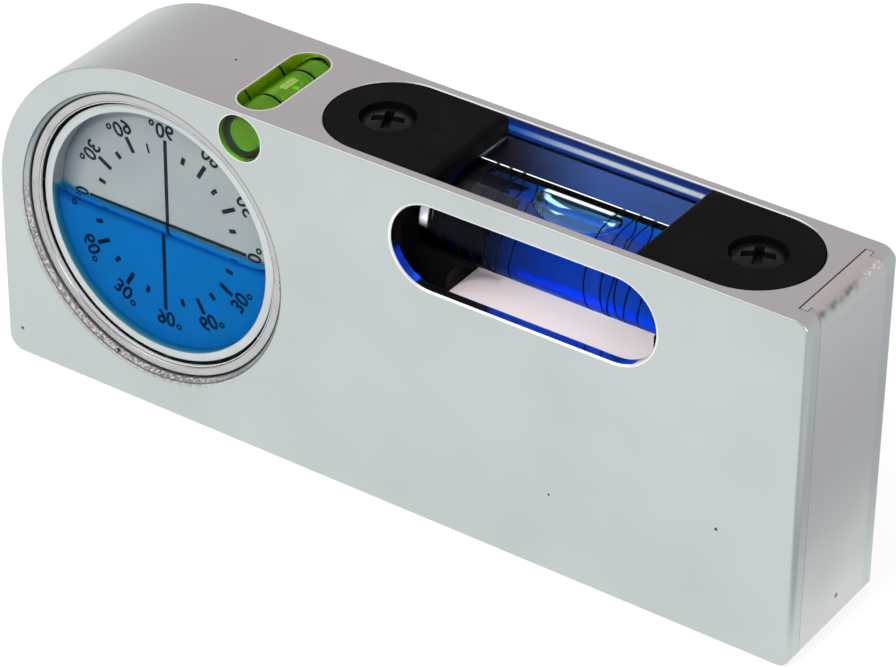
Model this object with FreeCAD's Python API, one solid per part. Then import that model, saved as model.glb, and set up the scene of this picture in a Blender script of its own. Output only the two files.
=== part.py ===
import FreeCAD, Part
import math
import os

Vec = FreeCAD.Vector
AXIS_X = Vec(1, 0, 0)
AXIS_Y = Vec(0, 1, 0)
AXIS_Z = Vec(0, 0, 1)

# Body casting, standing on its base with the dial side facing -Y
body_length = 110.0
body_height = 45.5
body_thickness = 18.5
dial_corner_wall = 3.1
base_corner_radius = 2.0
end_top_corner_radius = 2.0
end_base_corner_radius = 1.5
front_upright_round = 0.8
back_upright_round = 0.6
face_edge_round = 0.25

# Clearances between pieces that fit together
fit_clearance = 0.05
strip_clearance = 0.08
holder_clearance = 0.1

# Round inclinometer let into the front face, depths counted inwards from that face
dial_end_margin = 3.4
dial_base_margin = 4.7
dial_top_margin = 3.0
dial_mouth_slope = 0.5
ring_depth = 0.75
ring_height = 3.6
ring_rim_width = 1.15
ring_rim_round = 0.3
ring_ledge_width = 0.5
window_sink = 0.24
window_thickness = 1.0
cup_wall = 1.05
cup_floor = 1.0
chamber_gap = 1.9
scale_thickness = 0.3
dial_level_rise = 0.6

# Pocket for the main vial, open at the top and closed at the back
pocket_dial_gap = 1.25
pocket_end_margin = 4.65
pocket_wall = 1.3
pocket_floor_gap = 2.5
pocket_edge_chamfer = 0.12

# Viewing window through the front wall of the pocket
window_vial_margin = 0.5
window_rim_cover = 0.15
window_drop = 0.15
window_edge_chamfer = 0.15

# Main vial, a barrel with a flat reading plate on top
vial_side_gap = 2.35
vial_end_round = 1.2
plate_drop = 2.3
plate_thickness = 1.0
plate_overlap = 0.5
vial_wall = 1.0
bore_swell = 0.2
bore_end_round = 1.6
vial_end_wall = 1.6
vial_plug_length = 1.8
plug_edge_chamfer = 0.3
bubble_length_share = 0.325
bubble_width_share = 1.22
bubble_depth_share = 0.5
bubble_shift_x = 0.4

# Moulded holders that carry the two ends of the main vial
holder_block_length = 14.5
holder_hood_reach = 3.7
holder_top_drop = 0.1
holder_face_round = 0.8
holder_rim_chamfer = 0.1
holder_hood_depth = 3.6
saddle_inset = 0.1
saddle_drop = 3.1
saddle_share = 0.24
saddle_lip = 0.3
arch_foot = 1.1
ledge_reach = 2.0

# Screws that hold the holders down
screw_end_distance = 7.25
screw_recess_radius = 3.3
screw_head_radius = 3.15
screw_head_height = 2.1
screw_head_edge = 1.5
screw_head_drop = 0.2
screw_shank_radius = 1.75
screw_bite = 7.0
screw_tip_length = 1.6
cross_length = 3.8
cross_width = 1.1
cross_depth = 1.3
screw_turn = 24.0

# Small cross vial, lying across the body near the top
cross_pocket_gap = 6.7
cross_top_drop = 3.35
cross_vial_radius = 2.8
cross_vial_clearance = 0.15
cross_back_wall = 1.1
cross_slot_front_margin = 1.4
cross_slot_back_margin = 2.7
cross_slot_lip = 0.15
cross_vial_sink = 0.3
cross_vial_end_gap = 0.1
cross_vial_wall = 0.65
cross_bore_swell = 0.1
cross_end_wall = 1.2
cross_plug_length = 1.6
cross_end_round = 0.4
cross_bubble_length_share = 0.295
cross_bubble_width_share = 1.3
cross_bubble_depth_share = 0.6
cross_bubble_shift_y = -0.6

# T-section strip in the end face, with two disc magnets behind it
strip_side_wall = 2.2
strip_shoulder = 0.95
strip_neck_splay = 0.9
strip_head_inset = 2.85
strip_head_depth = 1.15
end_magnet_gap = 3.0
end_magnet_thickness = 3.0

# Disc magnets in the base
base_magnet_radius = 4.0
base_magnet_thickness = 4.0
base_magnet_recess = 0.15
base_magnet_count = 4
base_magnet_end_margin = 13.0
magnet_edge_chamfer = 0.3

# Places worked out from the sizes above
front_y = -body_thickness / 2
back_y = body_thickness / 2
end_x = body_length / 2
dial_mouth_radius = (body_height - dial_base_margin - dial_top_margin) / 2
dial_corner_radius = dial_mouth_radius + dial_corner_wall
ring_outer_radius = dial_mouth_radius - dial_mouth_slope
dial_x = -end_x + dial_end_margin + dial_mouth_radius
dial_z = dial_base_margin + dial_mouth_radius
dial_origin = Vec(dial_x, front_y, dial_z)
window_radius = ring_outer_radius - ring_rim_width - fit_clearance
cup_outer_radius = window_radius - ring_ledge_width
chamber_radius = cup_outer_radius - cup_wall
window_back_depth = ring_depth + window_sink + window_thickness
cup_back_depth = window_back_depth + chamber_gap + scale_thickness + cup_floor
pocket_start_x = dial_x + dial_mouth_radius + pocket_dial_gap
pocket_end_x = end_x - pocket_end_margin
pocket_length = pocket_end_x - pocket_start_x
pocket_x = (pocket_start_x + pocket_end_x) / 2
pocket_width = body_thickness - 2 * pocket_wall
vial_radius = pocket_width / 2 - vial_side_gap
plate_top_z = body_height - plate_drop
vial_z = plate_top_z - plate_thickness - vial_radius + plate_overlap
pocket_floor_z = vial_z - vial_radius - pocket_floor_gap
socket_x = pocket_start_x + holder_block_length
vial_start_x = socket_x + fit_clearance
vial_end_x = 2 * pocket_x - vial_start_x
vial_length = vial_end_x - vial_start_x
vial_plug_x = vial_end_x - vial_plug_length
bore_middle_radius = vial_radius - vial_wall
bore_end_radius = bore_middle_radius - bore_swell
bubble_length = vial_length * bubble_length_share
bubble_width = bore_middle_radius * bubble_width_share
bubble_depth = bore_middle_radius * bubble_depth_share
window_length = vial_length + 2 * window_vial_margin
window_height = 2 * (vial_radius - window_rim_cover)
window_z = vial_z - window_drop
holder_top_z = body_height - holder_top_drop
holder_face_x = vial_start_x + holder_hood_reach
saddle_width = 2 * (vial_radius - saddle_inset)
saddle_z = vial_z - saddle_drop
saddle_reach = vial_length * saddle_share
saddle_end_x = socket_x + saddle_reach
arch_radius = saddle_z - saddle_lip - arch_foot - pocket_floor_z
leg_reach = saddle_reach - arch_radius
screw_places = {
    "left": pocket_start_x + screw_end_distance,
    "right": pocket_end_x - screw_end_distance,
}
screw_head_top_z = holder_top_z - screw_head_drop
screw_seat_z = screw_head_top_z - screw_head_height
screw_dome_rise = screw_head_height - screw_head_edge
screw_dome_radius = (screw_head_radius**2 + screw_dome_rise**2) / (2 * screw_dome_rise)
screw_tip_z = pocket_floor_z - screw_bite
cross_x = pocket_start_x - cross_pocket_gap
cross_z = body_height - cross_top_drop
cross_hole_radius = cross_vial_radius + cross_vial_clearance
cross_hole_depth = body_thickness - cross_back_wall
cross_slot_width = 2 * (cross_vial_radius - cross_slot_lip)
cross_slot_length = body_thickness - cross_slot_front_margin - cross_slot_back_margin
cross_slot_y = (cross_slot_front_margin - cross_slot_back_margin) / 2
cross_vial_length = cross_hole_depth - cross_vial_sink - cross_vial_end_gap
cross_front_y = front_y + cross_vial_sink
cross_rear_y = cross_front_y + cross_vial_length
cross_plug_y = cross_rear_y - cross_plug_length
cross_bore_middle_radius = cross_vial_radius - cross_vial_wall
cross_bore_end_radius = cross_bore_middle_radius - cross_bore_swell
cross_bubble_length = cross_vial_length * cross_bubble_length_share
cross_bubble_width = cross_bore_middle_radius * cross_bubble_width_share
cross_bubble_depth = cross_bore_middle_radius * cross_bubble_depth_share
strip_head_width = body_thickness - 2 * strip_side_wall
strip_neck_width = strip_head_width - 2 * strip_shoulder
strip_neck_slope = strip_neck_splay / (strip_head_inset - strip_head_depth)
strip_slot_x = end_x - strip_head_inset
end_magnet_radius = (pocket_floor_z - 3 * end_magnet_gap) / 4
end_magnet_heights = {
    "lower": end_magnet_gap + end_magnet_radius,
    "upper": 2 * end_magnet_gap + 3 * end_magnet_radius,
}
base_magnet_first_x = -end_x + base_magnet_end_margin
base_magnet_pitch = -2 * base_magnet_first_x / (base_magnet_count - 1)
# Cutting shapes run past the faces that they cut by this much
overrun = 1.0
# Points closer than this to a plane count as lying in it
plane_tolerance = 0.001


def block(x0, x1, y0, y1, z0, z1):
    """A box between two corners."""
    return Part.makeBox(x1 - x0, y1 - y0, z1 - z0, Vec(x0, y0, z0))


def rod_x(y, z, radius, x0, x1):
    """A cylinder along X."""
    return Part.makeCylinder(radius, x1 - x0, Vec(x0, y, z), AXIS_X)


def rod_y(x, z, radius, y0, y1):
    """A cylinder along Y."""
    return Part.makeCylinder(radius, y1 - y0, Vec(x, y0, z), AXIS_Y)


def rod_z(x, y, radius, z0, z1):
    """A cylinder along Z."""
    return Part.makeCylinder(radius, z1 - z0, Vec(x, y, z0), AXIS_Z)


def rounded_wire(corners, radii):
    """A closed wire through square corners, each rounded by its own radius."""
    starts = []
    ends = []
    middles = []
    count = len(corners)
    for index, corner in enumerate(corners):
        before = (corners[index - 1] - corner).normalize()
        after = (corners[(index + 1) % count] - corner).normalize()
        radius = radii[index]
        starts.append(corner + before * radius)
        ends.append(corner + after * radius)
        middles.append(corner + (before + after) * (radius * (1 - math.sqrt(0.5))))
    edges = []
    for index in range(count):
        if radii[index] > 0:
            edges.append(Part.Arc(starts[index], middles[index], ends[index]).toShape())
        edges.append(Part.LineSegment(ends[index], starts[(index + 1) % count]).toShape())
    return Part.Wire(edges)


def stadium(centre, along, across, length, width, thrust):
    """A prism whose section has two straight sides and two half-round ends."""
    radius = width / 2
    run = along * (length / 2 - radius)
    side = across * radius
    tip = along * (length / 2)
    edges = [
        Part.LineSegment(centre - run - side, centre + run - side).toShape(),
        Part.Arc(centre + run - side, centre + tip, centre + run + side).toShape(),
        Part.LineSegment(centre + run + side, centre - run + side).toShape(),
        Part.Arc(centre - run + side, centre - tip, centre - run - side).toShape(),
    ]
    return Part.Face(Part.Wire(edges)).extrude(thrust)


def lathe(points, origin, axis):
    """A solid turned about an axis from points of a radius and a distance along it."""
    radial = AXIS_X if axis == AXIS_Z else AXIS_Z
    places = [origin + radial * radius + axis * along for radius, along in points]
    wire = Part.makePolygon(places + [places[0]])
    return Part.Face(wire).revolve(origin, axis, 360)


def barrel(origin, axis, length, end_radius, middle_radius):
    """A solid along an axis whose side swells from the ends to the middle."""
    start = origin + AXIS_Z * end_radius
    middle = origin + axis * (length / 2) + AXIS_Z * middle_radius
    finish = origin + axis * length + AXIS_Z * end_radius
    far = origin + axis * length
    edges = [
        Part.LineSegment(origin, start).toShape(),
        Part.Arc(start, middle, finish).toShape(),
        Part.LineSegment(finish, far).toShape(),
        Part.LineSegment(far, origin).toShape(),
    ]
    return Part.Face(Part.Wire(edges)).revolve(origin, axis, 360)


def bubble(centre, axis, length, width):
    """A long round lens with pointed ends, the air left in a vial's liquid."""
    half = axis * (length / 2)
    crown = centre + AXIS_Z * (width / 2)
    edges = [
        Part.Arc(centre - half, crown, centre + half).toShape(),
        Part.LineSegment(centre + half, centre - half).toShape(),
    ]
    return Part.Face(Part.Wire(edges)).revolve(centre, axis, 360)


def flat_edges(shape, axis, value):
    """The edges of a shape that lie in the plane across an axis at a value."""
    chosen = []
    for edge in shape.Edges:
        offsets = [abs(vertex.Point.dot(axis) - value) for vertex in edge.Vertexes]
        offsets.append(abs(edge.CenterOfMass.dot(axis) - value))
        if max(offsets) < plane_tolerance:
            chosen.append(edge)
    return chosen


def disc_magnet(centre, axis, radius, thickness):
    """A round magnet with chamfered rims."""
    chamfer = magnet_edge_chamfer
    return lathe(
        [
            (0, 0),
            (radius - chamfer, 0),
            (radius, chamfer),
            (radius, thickness - chamfer),
            (radius - chamfer, thickness),
            (0, thickness),
        ],
        centre,
        axis,
    )


def body_outline():
    """The front view of the body: one large round corner and three small ones."""
    return rounded_wire(
        [
            Vec(-end_x, front_y, 0),
            Vec(end_x, front_y, 0),
            Vec(end_x, front_y, body_height),
            Vec(-end_x, front_y, body_height),
        ],
        [base_corner_radius, end_base_corner_radius, end_top_corner_radius, dial_corner_radius],
    )


def body_plan():
    """The top view of the body, with the two uprights of the end face rounded."""
    return rounded_wire(
        [
            Vec(-end_x, front_y, 0),
            Vec(end_x, front_y, 0),
            Vec(end_x, back_y, 0),
            Vec(-end_x, back_y, 0),
        ],
        [0, front_upright_round, back_upright_round, 0],
    )


def body_envelope():
    """The outer form of the body before anything is let into it."""
    slab = Part.Face(body_outline()).extrude(AXIS_Y * body_thickness)
    rims = flat_edges(slab, AXIS_Y, front_y) + flat_edges(slab, AXIS_Y, back_y)
    slab = slab.makeFillet(face_edge_round, rims)
    return slab.common(Part.Face(body_plan()).extrude(AXIS_Z * body_height))


def strip_profile(clearance):
    """The T-shaped prism of the end strip, or of its slot with no clearance."""
    head = strip_head_width / 2 - clearance
    neck = strip_neck_width / 2 - clearance
    inner = strip_slot_x + clearance
    shoulder = strip_slot_x + strip_head_depth - clearance
    outer = end_x + overrun
    mouth = neck + strip_neck_slope * (outer - shoulder)
    points = [
        (inner, -head),
        (shoulder, -head),
        (shoulder, -neck),
        (outer, -mouth),
        (outer, mouth),
        (shoulder, neck),
        (shoulder, head),
        (inner, head),
    ]
    places = [Vec(x, y, -overrun) for x, y in points]
    face = Part.Face(Part.makePolygon(places + [places[0]]))
    return face.extrude(AXIS_Z * (body_height + 2 * overrun))


def dial_cavity():
    """The stepped bore for the inclinometer, with the sloping rough mouth."""
    seat_radius = ring_outer_radius + fit_clearance
    step_depth = ring_depth + ring_height
    cup_radius = cup_outer_radius + fit_clearance
    floor_depth = cup_back_depth
    return lathe(
        [
            (0, -overrun),
            (dial_mouth_radius, -overrun),
            (dial_mouth_radius, 0),
            (seat_radius, ring_depth),
            (seat_radius, step_depth),
            (cup_radius, step_depth),
            (cup_radius, floor_depth),
            (0, floor_depth),
        ],
        dial_origin,
        AXIS_Y,
    )


def pocket_cavity():
    """The pocket for the main vial, open at the top."""
    floor = Vec(pocket_x, 0, pocket_floor_z)
    rise = AXIS_Z * (body_height - pocket_floor_z + overrun)
    return stadium(floor, AXIS_X, AXIS_Y, pocket_length, pocket_width, rise)


def viewing_window():
    """The opening in the front wall through which the main vial is read."""
    outside = Vec(pocket_x, front_y - overrun, window_z)
    through = AXIS_Y * (overrun + pocket_wall + overrun)
    return stadium(outside, AXIS_X, AXIS_Z, window_length, window_height, through)


def chamfer_mouth(shape, axis, value, length, size):
    """Chamfer the edges of a mouth of this length that lie in the plane across an axis."""
    reach = length / 2 + plane_tolerance
    rim = [
        edge
        for edge in flat_edges(shape, axis, value)
        if all(abs(vertex.X - pocket_x) < reach for vertex in edge.Vertexes)
    ]
    return shape.makeChamfer(size, rim)


def cross_cavity():
    """The bore for the cross vial and the slot above it."""
    bore = rod_y(
        cross_x, cross_z, cross_hole_radius, front_y - overrun, front_y + cross_hole_depth
    )
    middle = Vec(cross_x, cross_slot_y, cross_z)
    rise = AXIS_Z * (body_height - cross_z + overrun)
    slot = stadium(middle, AXIS_Y, AXIS_X, cross_slot_length, cross_slot_width, rise)
    return bore.fuse(slot)


def base_magnet_places():
    """The middles of the base magnets along X."""
    return [base_magnet_first_x + base_magnet_pitch * index for index in range(base_magnet_count)]


def end_magnet_seats():
    """The bores for the magnets behind the end strip."""
    radius = end_magnet_radius + fit_clearance
    start = strip_slot_x - end_magnet_thickness
    finish = strip_slot_x + overrun
    return [rod_x(0, height, radius, start, finish) for height in end_magnet_heights.values()]


def base_magnet_seats():
    """The bores for the magnets in the base."""
    radius = base_magnet_radius + fit_clearance
    depth = base_magnet_recess + base_magnet_thickness
    return [rod_z(x, 0, radius, -overrun, depth) for x in base_magnet_places()]


def screw_holes():
    """The holes under the pocket that the holder screws bite into."""
    radius = screw_shank_radius + fit_clearance
    bottom = pocket_floor_z - screw_bite - overrun
    top = pocket_floor_z + overrun
    return [rod_z(x, 0, radius, bottom, top) for x in screw_places.values()]


def make_body(envelope):
    """The cast body with its bores, pocket, windows, end slot and magnet seats."""
    body = envelope.cut(pocket_cavity()).cut(viewing_window())
    body = chamfer_mouth(body, AXIS_Z, body_height, pocket_length, pocket_edge_chamfer)
    body = chamfer_mouth(body, AXIS_Y, front_y, window_length, window_edge_chamfer)
    cuts = [dial_cavity(), cross_cavity(), strip_profile(0)]
    cuts += end_magnet_seats() + base_magnet_seats() + screw_holes()
    for cutter in cuts:
        body = body.cut(cutter)
    return body.removeSplitter()


def make_bezel_ring():
    """The metal ring: a rounded rim, a bore for the window and a ledge behind it."""
    outer = ring_outer_radius
    inner = window_radius + fit_clearance
    ledge = inner - ring_ledge_width
    ledge_depth = window_back_depth
    bottom = ring_depth + ring_height
    ring = lathe(
        [
            (inner, ring_depth),
            (outer, ring_depth),
            (outer, bottom),
            (ledge, bottom),
            (ledge, ledge_depth),
            (inner, ledge_depth),
        ],
        dial_origin,
        AXIS_Y,
    )
    rim_edges = flat_edges(ring, AXIS_Y, front_y + ring_depth)
    return ring.makeFillet(ring_rim_round, rim_edges)


def make_dial_window():
    """The clear disc in front of the inclinometer's chamber."""
    start = front_y + ring_depth + window_sink
    return rod_y(dial_x, dial_z, window_radius, start, start + window_thickness)


def make_dial_cup():
    """The clear cup that holds the liquid behind the window."""
    outer = cup_outer_radius
    inner = chamber_radius
    floor_depth = cup_back_depth - cup_floor
    return lathe(
        [
            (0, floor_depth),
            (inner, floor_depth),
            (inner, window_back_depth),
            (outer, window_back_depth),
            (outer, cup_back_depth),
            (0, cup_back_depth),
        ],
        dial_origin,
        AXIS_Y,
    )


def make_dial_scale():
    """The disc at the bottom of the cup that carries the scale."""
    start = front_y + window_back_depth + chamber_gap
    radius = chamber_radius - fit_clearance
    return rod_y(dial_x, dial_z, radius, start, start + scale_thickness)


def make_dial_liquid():
    """The liquid that fills the lower half of the chamber, level at the top."""
    start = front_y + window_back_depth
    radius = chamber_radius - fit_clearance
    full = rod_y(dial_x, dial_z, radius, start, start + chamber_gap)
    lower = block(
        dial_x - chamber_radius,
        dial_x + chamber_radius,
        start,
        start + chamber_gap,
        dial_z - chamber_radius,
        dial_z + dial_level_rise,
    )
    return full.common(lower)


def vial_bore_start():
    """The point on the main vial's axis where its bore begins."""
    return Vec(vial_start_x + vial_end_wall, 0, vial_z)


def make_vial():
    """The clear barrel with its flat reading plate and swelling bore."""
    tube = rod_x(0, vial_z, vial_radius, vial_start_x, vial_end_x)
    tube = tube.makeFillet(vial_end_round, flat_edges(tube, AXIS_X, vial_start_x))
    half_width = pocket_width / 2 - holder_clearance
    plate = block(
        holder_face_x + holder_clearance,
        2 * pocket_x - holder_face_x - holder_clearance,
        -half_width,
        half_width,
        plate_top_z - plate_thickness,
        plate_top_z,
    )
    start = vial_bore_start()
    length = vial_plug_x - start.x
    bore = barrel(start, AXIS_X, length, bore_end_radius, bore_middle_radius)
    bore = bore.makeFillet(bore_end_round, flat_edges(bore, AXIS_X, start.x))
    plug_seat = rod_x(0, vial_z, bore_end_radius, vial_plug_x, vial_end_x)
    return tube.fuse(plate).cut(bore).cut(plug_seat).removeSplitter()


def make_vial_liquid():
    """The liquid in the main vial, with the bubble left out of its roof."""
    start = vial_bore_start() + AXIS_X * fit_clearance
    length = vial_plug_x - fit_clearance - start.x
    end_radius = bore_end_radius - fit_clearance
    middle_radius = bore_middle_radius - fit_clearance
    liquid = barrel(start, AXIS_X, length, end_radius, middle_radius)
    liquid = liquid.makeFillet(bore_end_round, flat_edges(liquid, AXIS_X, start.x))
    roof = vial_z + bore_middle_radius
    centre = Vec(pocket_x + bubble_shift_x, 0, roof - bubble_depth + bubble_width / 2)
    return liquid.cut(bubble(centre, AXIS_X, bubble_length, bubble_width))


def make_vial_plug():
    """The clear plug that closes the main vial's open end."""
    radius = bore_end_radius - fit_clearance
    length = vial_plug_length
    return lathe(
        [
            (0, 0),
            (radius, 0),
            (radius, length - plug_edge_chamfer),
            (radius - plug_edge_chamfer, length),
            (0, length),
        ],
        Vec(vial_plug_x, 0, vial_z),
        AXIS_X,
    )


def holder_shell():
    """The prism that fills the pocket with clearance, its top rim chamfered."""
    width = pocket_width - 2 * holder_clearance
    length = pocket_length - 2 * holder_clearance
    floor = Vec(pocket_x, 0, pocket_floor_z)
    rise = AXIS_Z * (holder_top_z - pocket_floor_z)
    shell = stadium(floor, AXIS_X, AXIS_Y, length, width, rise)
    return shell.makeChamfer(holder_rim_chamfer, flat_edges(shell, AXIS_Z, holder_top_z))


def holder_block():
    """The upright end of a holder with the hood that covers the vial's end."""
    half = pocket_width / 2
    foot = block(pocket_start_x, socket_x, -half, half, pocket_floor_z, holder_top_z)
    hood_z = holder_top_z - holder_hood_depth
    hood = block(pocket_start_x, holder_face_x, -half, half, hood_z, holder_top_z)
    whole = foot.fuse(hood)
    top_edges = [
        edge
        for edge in flat_edges(whole, AXIS_X, holder_face_x)
        if abs(edge.CenterOfMass.z - holder_top_z) < plane_tolerance
    ]
    return whole.makeFillet(holder_face_round, top_edges).common(holder_shell())


def holder_arm():
    """The saddle under the vial, carried by a leg with an arch beside it."""
    half = saddle_width / 2
    arm = block(socket_x - overrun, saddle_end_x, -half, half, pocket_floor_z, saddle_z)
    leg_x = socket_x + leg_reach
    arch_z = pocket_floor_z + arch_foot
    reach = half + overrun
    arch = rod_y(leg_x + arch_radius, arch_z, arch_radius, -reach, reach)
    under = block(leg_x, saddle_end_x + overrun, -reach, reach, pocket_floor_z - overrun, arch_z)
    return arm.cut(arch).cut(under)


def holder_ledge():
    """The short ledge under the vial, on the holder that has no arm."""
    half = saddle_width / 2
    finish = socket_x + ledge_reach
    return block(socket_x - overrun, finish, -half, half, pocket_floor_z, saddle_z)


def make_holder(support):
    """A moulded end piece at the left, with the vial's seat and a recess for its screw."""
    x = screw_places["left"]
    shank = screw_shank_radius + fit_clearance
    seat = rod_x(0, vial_z, vial_radius + fit_clearance, socket_x, saddle_end_x + overrun)
    hole = rod_z(x, 0, shank, pocket_floor_z - overrun, holder_top_z)
    recess = rod_z(x, 0, screw_recess_radius, screw_seat_z, holder_top_z + overrun)
    holder = holder_block().fuse(support)
    return holder.cut(seat).cut(hole).cut(recess).removeSplitter()


def screw_section():
    """Half the lengthwise section of a screw, from its axis outwards."""
    rim_z = screw_seat_z + screw_head_edge
    half = screw_head_radius / 2
    fall = screw_dome_radius - math.sqrt(screw_dome_radius**2 - half**2)
    tip = Vec(0, 0, screw_tip_z)
    shoulder = Vec(screw_shank_radius, 0, screw_tip_z + screw_tip_length)
    neck = Vec(screw_shank_radius, 0, screw_seat_z)
    head_low = Vec(screw_head_radius, 0, screw_seat_z)
    head_rim = Vec(screw_head_radius, 0, rim_z)
    dome = Vec(half, 0, screw_head_top_z - fall)
    crown = Vec(0, 0, screw_head_top_z)
    edges = [
        Part.LineSegment(tip, shoulder),
        Part.LineSegment(shoulder, neck),
        Part.LineSegment(neck, head_low),
        Part.LineSegment(head_low, head_rim),
        Part.Arc(head_rim, dome, crown),
        Part.LineSegment(crown, tip),
    ]
    return Part.Face(Part.Wire([edge.toShape() for edge in edges]))


def make_screw(x):
    """A pan-head screw with a cross recess and a pointed end."""
    screw = screw_section().revolve(Vec(0, 0, 0), AXIS_Z, 360)
    half = cross_length / 2
    thin = cross_width / 2
    low = screw_head_top_z - cross_depth
    high = screw_head_top_z + overrun
    slot_x = block(-half, half, -thin, thin, low, high)
    slot_y = block(-thin, thin, -half, half, low, high)
    screw = screw.cut(slot_x).cut(slot_y)
    screw.rotate(Vec(0, 0, 0), AXIS_Z, screw_turn)
    screw.translate(Vec(x, 0, 0))
    return screw


def make_cross_vial():
    """The small clear tube, closed at the front and bored from the back."""
    tube = rod_y(cross_x, cross_z, cross_vial_radius, cross_front_y, cross_rear_y)
    tube = tube.makeFillet(cross_end_round, flat_edges(tube, AXIS_Y, cross_front_y))
    start = Vec(cross_x, cross_front_y + cross_end_wall, cross_z)
    length = cross_plug_y - start.y
    bore = barrel(start, AXIS_Y, length, cross_bore_end_radius, cross_bore_middle_radius)
    seat = rod_y(cross_x, cross_z, cross_bore_end_radius, cross_plug_y, cross_rear_y)
    return tube.cut(bore).cut(seat)


def make_cross_liquid():
    """The liquid in the cross vial, with its bubble left out."""
    start = Vec(cross_x, cross_front_y + cross_end_wall + fit_clearance, cross_z)
    length = cross_plug_y - fit_clearance - start.y
    liquid = barrel(
        start,
        AXIS_Y,
        length,
        cross_bore_end_radius - fit_clearance,
        cross_bore_middle_radius - fit_clearance,
    )
    roof = cross_z + cross_bore_middle_radius
    centre = Vec(cross_x, cross_bubble_shift_y, roof - cross_bubble_depth + cross_bubble_width / 2)
    return liquid.cut(bubble(centre, AXIS_Y, cross_bubble_length, cross_bubble_width))


def make_cross_plug():
    """The plug at the back end of the cross vial."""
    radius = cross_bore_end_radius - fit_clearance
    return rod_y(cross_x, cross_z, radius, cross_plug_y, cross_rear_y)


def build_nodes():
    """Every separate piece of the level by name."""
    envelope = body_envelope()
    nodes = {
        "body": make_body(envelope),
        "bezel_ring": make_bezel_ring(),
        "dial_window": make_dial_window(),
        "dial_cup": make_dial_cup(),
        "dial_scale": make_dial_scale(),
        "dial_liquid": make_dial_liquid(),
        "main_vial": make_vial(),
        "main_vial_liquid": make_vial_liquid(),
        "main_vial_plug": make_vial_plug(),
        "left_vial_holder": make_holder(holder_arm()),
        "right_vial_holder": make_holder(holder_ledge()).mirror(Vec(pocket_x, 0, 0), AXIS_X),
        "cross_vial": make_cross_vial(),
        "cross_vial_liquid": make_cross_liquid(),
        "cross_vial_plug": make_cross_plug(),
        "end_strip": envelope.common(strip_profile(strip_clearance)),
    }
    for side, x in screw_places.items():
        nodes[side + "_holder_screw"] = make_screw(x)
    for level, height in end_magnet_heights.items():
        start = Vec(strip_slot_x - end_magnet_thickness, 0, height)
        nodes["end_magnet_" + level] = disc_magnet(
            start, AXIS_X, end_magnet_radius, end_magnet_thickness
        )
    for number, x in enumerate(base_magnet_places(), start=1):
        nodes[f"base_magnet_{number}"] = disc_magnet(
            Vec(x, 0, base_magnet_recess), AXIS_Z, base_magnet_radius, base_magnet_thickness
        )
    return nodes


def main():
    os.makedirs("parts", exist_ok=True)
    for name, shape in build_nodes().items():
        shape.exportStep(f"parts/{name}.step")
        print(name, shape.isValid(), len(shape.Solids), round(shape.Volume, 2))


if __name__ == "__main__":
    main()
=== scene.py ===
"""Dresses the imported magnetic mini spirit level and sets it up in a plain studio."""

import logging
import math
from collections.abc import Callable
from dataclasses import dataclass
from enum import Enum
from functools import partial, reduce

import bmesh
import bpy
from mathutils import Euler, Matrix, Vector


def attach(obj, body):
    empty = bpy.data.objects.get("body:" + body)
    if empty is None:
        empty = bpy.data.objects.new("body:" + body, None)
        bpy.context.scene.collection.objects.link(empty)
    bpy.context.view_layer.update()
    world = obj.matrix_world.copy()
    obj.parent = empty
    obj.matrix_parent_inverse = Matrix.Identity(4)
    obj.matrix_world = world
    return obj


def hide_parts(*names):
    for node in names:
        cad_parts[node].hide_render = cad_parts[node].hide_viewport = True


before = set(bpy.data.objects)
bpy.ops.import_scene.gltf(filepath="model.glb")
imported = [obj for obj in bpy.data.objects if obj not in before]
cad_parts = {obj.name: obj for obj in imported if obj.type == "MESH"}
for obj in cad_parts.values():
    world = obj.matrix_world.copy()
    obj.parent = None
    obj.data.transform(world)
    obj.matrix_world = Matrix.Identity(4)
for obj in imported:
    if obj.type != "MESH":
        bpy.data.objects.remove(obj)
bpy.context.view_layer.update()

MM = 0.001
BODY = "root"
LOG = logging.getLogger("spirit_level")
WHITE = (1.0, 1.0, 1.0)

Pair = tuple[float, float]
Triple = tuple[float, float, float]
Spot = tuple[Triple, float]
Socket = bpy.types.NodeSocket
Node = bpy.types.Node
Material = bpy.types.Material
Shape = bmesh.types.BMesh


class RayKind(Enum):
    """The kinds of ray that a material may tell apart."""

    CAMERA = "Is Camera Ray"
    GLOSSY = "Is Glossy Ray"
    TRANSMISSION = "Is Transmission Ray"
    SHADOW = "Is Shadow Ray"
    DIFFUSE = "Is Diffuse Ray"


def screen(red: int, green: int, blue: int) -> Triple:
    """Turn a colour as a screen shows it, from 0 to 255, into linear light.

    Args:
        red: The red channel.
        green: The green channel.
        blue: The blue channel.

    Returns:
        The same colour in linear light.
    """

    def linear(value: int) -> float:
        """One channel in linear light."""
        share = value / 255
        return share / 12.92 if share <= 0.04045 else ((share + 0.055) / 1.055) ** 2.4

    return linear(red), linear(green), linear(blue)


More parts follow.
